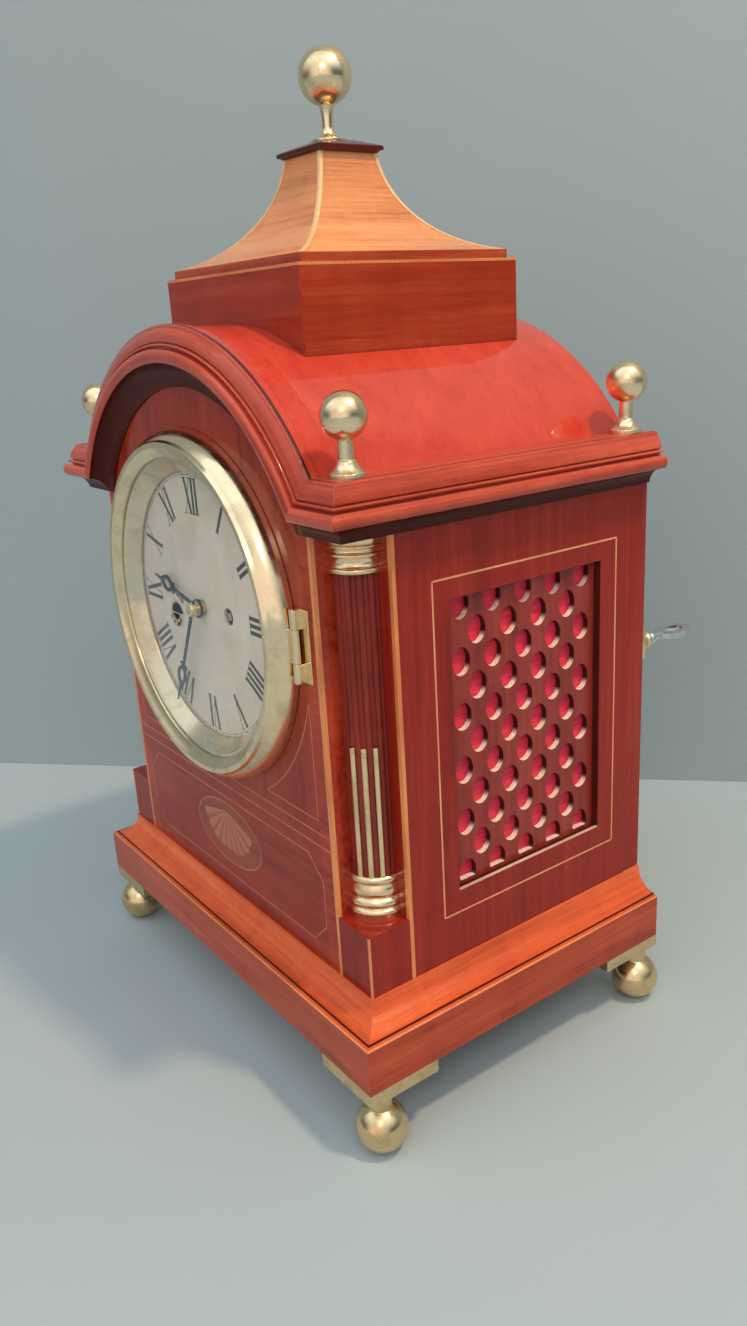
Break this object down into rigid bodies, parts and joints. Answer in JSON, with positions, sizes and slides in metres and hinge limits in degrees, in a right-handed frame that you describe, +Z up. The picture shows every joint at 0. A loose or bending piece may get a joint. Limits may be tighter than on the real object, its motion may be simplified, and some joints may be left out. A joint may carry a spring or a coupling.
{
  "type": "mantel clock",
  "caption": "Arched mahogany mantel clock with a pagoda roof, brass mounts, pierced side frets, an opening bezel and back door, and a spring-driven pendulum movement.",
  "frame": {"origin": "on the floor plane under the middle of the bounding box, with the four feet standing on Z = 0", "axes": "+X to the viewer's right, +Y to the back of the clock, +Z up"},
  "size_m": [0.3344, 0.277, 0.5631],
  "materials": {
    "mahogany": "French polish",
    "dark_mahogany": "French polish",
    "carcase_wood": "plain planed",
    "brass": "polished, lightly aged",
    "silvered_brass": "fine grained silvering",
    "blued_steel": "polished and blued",
    "steel": "polished",
    "crimson_silk": "plain woven silk",
    "glass": "clear",
    "movement_brass": "satin",
    "bell_metal": "bright turned"
  },
  "bodies": {
    "case": {"plinth_moulding": "mahogany", "base_board": "carcase_wood", "foot_plates": "brass", "ball_feet": "brass", "front_panel": "mahogany", "side_panel_right": "mahogany", "side_panel_left": "mahogany", "fret_right": "dark_mahogany", "fret_left": "dark_mahogany", "silk_right": "crimson_silk", "silk_left": "crimson_silk", "corner_pedestals": "mahogany", "columns": "dark_mahogany", "column_brasses": "brass", "front_cornice": "mahogany", "side_cornices": "mahogany", "roof_barrel": "mahogany", "back_arch": "mahogany", "top_box": "mahogany", "pagoda_roof": "mahogany", "pagoda_cap": "mahogany", "top_finial": "brass", "corner_finials": "brass", "case_hinge_leaves": "brass", "lock_staple": "brass", "bezel_hinge": "brass", "dial": "silvered_brass", "seat_board": "carcase_wood", "front_plate": "movement_brass", "back_plate": "movement_brass", "movement_pillars": "movement_brass", "fusee_chains": "steel", "pendulum_cock": "movement_brass", "bell": "bell_metal", "bell_stand": "steel"},
    "bezel_door": {"bezel": "brass", "bezel_glass": "glass"},
    "rear_door": {"back_door": "mahogany", "door_glass": "glass", "door_hinge_leaves": "brass", "door_lock": "brass", "lock_escutcheon": "brass"},
    "key": {"door_key": "steel"},
    "bolt": {"lock_bolt": "brass"},
    "minute_arbor": {"centre_wheel": "movement_brass", "cannon_pinion": "movement_brass", "minute_hand": "blued_steel"},
    "hour_pipe": {"hour_wheel": "movement_brass", "hour_hand": "blued_steel"},
    "motion_wheel": {"minute_wheel": "movement_brass"},
    "third_arbor": {"third_wheel": "movement_brass"},
    "escape_arbor": {"escape_wheel": "movement_brass"},
    "going_great": {"going_fusee": "movement_brass"},
    "going_drum": {"going_barrel": "movement_brass"},
    "strike_great": {"strike_fusee": "movement_brass"},
    "strike_drum": {"strike_barrel": "movement_brass"},
    "pin_arbor": {"pin_wheel": "movement_brass"},
    "anchor": {"pallet_anchor": "steel"},
    "swinging_pendulum": {"pendulum": "movement_brass"},
    "strike_hammer": {"hammer": "steel"}
  },
  "joints": [
    {"name": "bezel_swing", "type": "hinge", "parent": "case", "child": "bezel_door", "pos_m": [0.105, -0.1236, 0.2705], "axis": [0, 0, 1], "range_deg": [0, 110]},
    {"name": "rear_door_swing", "type": "hinge", "parent": "case", "child": "rear_door", "pos_m": [-0.1476, 0.0746, 0.205], "axis": [0, 0, 1], "range_deg": [0, 110]},
    {"name": "key_turn", "type": "hinge", "parent": "rear_door", "child": "key", "pos_m": [0.137, 0.0986, 0.23], "axis": [0, 1, 0], "range_deg": [0, 90]},
    {"name": "bolt_lift", "type": "slide", "parent": "rear_door", "child": "bolt", "axis": [0, 0, 1], "range_m": [0, 0.006]},
    {"name": "minute_turn", "type": "hinge", "parent": "case", "child": "minute_arbor", "pos_m": [0, -0.0624, 0.2705], "axis": [0, 1, 0], "continuous": true},
    {"name": "hour_turn", "type": "hinge", "parent": "case", "child": "hour_pipe", "pos_m": [0, -0.1024, 0.2705], "axis": [0, 1, 0], "continuous": true},
    {"name": "motion_wheel_turn", "type": "hinge", "parent": "case", "child": "motion_wheel", "pos_m": [0, -0.0984, 0.2489], "axis": [0, 1, 0], "continuous": true},
    {"name": "third_turn", "type": "hinge", "parent": "case", "child": "third_arbor", "pos_m": [0.008, -0.0624, 0.2966], "axis": [0, 1, 0], "continuous": true},
    {"name": "escape_turn", "type": "hinge", "parent": "case", "child": "escape_arbor", "pos_m": [0, -0.0624, 0.31602], "axis": [0, 1, 0], "continuous": true},
    {"name": "going_fusee_turn", "type": "hinge", "parent": "case", "child": "going_great", "pos_m": [0.03, -0.0624, 0.2705], "axis": [0, 1, 0], "continuous": true},
    {"name": "going_barrel_turn", "type": "hinge", "parent": "case", "child": "going_drum", "pos_m": [0.045, -0.0624, 0.213], "axis": [0, 1, 0], "continuous": true},
    {"name": "strike_fusee_turn", "type": "hinge", "parent": "case", "child": "strike_great", "pos_m": [-0.03, -0.0624, 0.2705], "axis": [0, 1, 0], "continuous": true},
    {"name": "strike_barrel_turn", "type": "hinge", "parent": "case", "child": "strike_drum", "pos_m": [-0.045, -0.0624, 0.213], "axis": [0, 1, 0], "continuous": true},
    {"name": "pin_wheel_turn", "type": "hinge", "parent": "case", "child": "pin_arbor", "pos_m": [-0.0427, -0.0624, 0.29768], "axis": [0, 1, 0], "continuous": true},
    {"name": "pendulum_swing", "type": "hinge", "parent": "case", "child": "swinging_pendulum", "pos_m": [0, -0.0214, 0.33722], "axis": [0, 1, 0], "range_deg": [-4, 4]},
    {"name": "anchor_rock", "type": "hinge", "parent": "case", "child": "anchor", "pos_m": [0, -0.0624, 0.33722], "axis": [0, 1, 0], "range_deg": [-4, 4]},
    {"name": "hammer_lift", "type": "hinge", "parent": "case", "child": "strike_hammer", "pos_m": [-0.06, -0.0624, 0.318], "axis": [0, 1, 0], "range_deg": [-10, 5.5]}
  ],
  "couplings": [
    {"joint": "bolt_lift", "follows": "key_turn", "m_per_rad": 0.0038197},
    {"joint": "hour_turn", "follows": "minute_turn", "ratio": 0.083333},
    {"joint": "motion_wheel_turn", "follows": "minute_turn", "ratio": -0.33333},
    {"joint": "third_turn", "follows": "minute_turn", "ratio": -12},
    {"joint": "escape_turn", "follows": "minute_turn", "ratio": 132},
    {"joint": "going_fusee_turn", "follows": "minute_turn", "ratio": -0.095238},
    {"joint": "going_barrel_turn", "follows": "minute_turn", "ratio": -0.062771},
    {"joint": "strike_barrel_turn", "follows": "strike_fusee_turn", "ratio": 0.65909},
    {"joint": "pin_wheel_turn", "follows": "strike_fusee_turn", "ratio": -10.5},
    {"joint": "anchor_rock", "follows": "pendulum_swing", "ratio": 1}
  ]
}
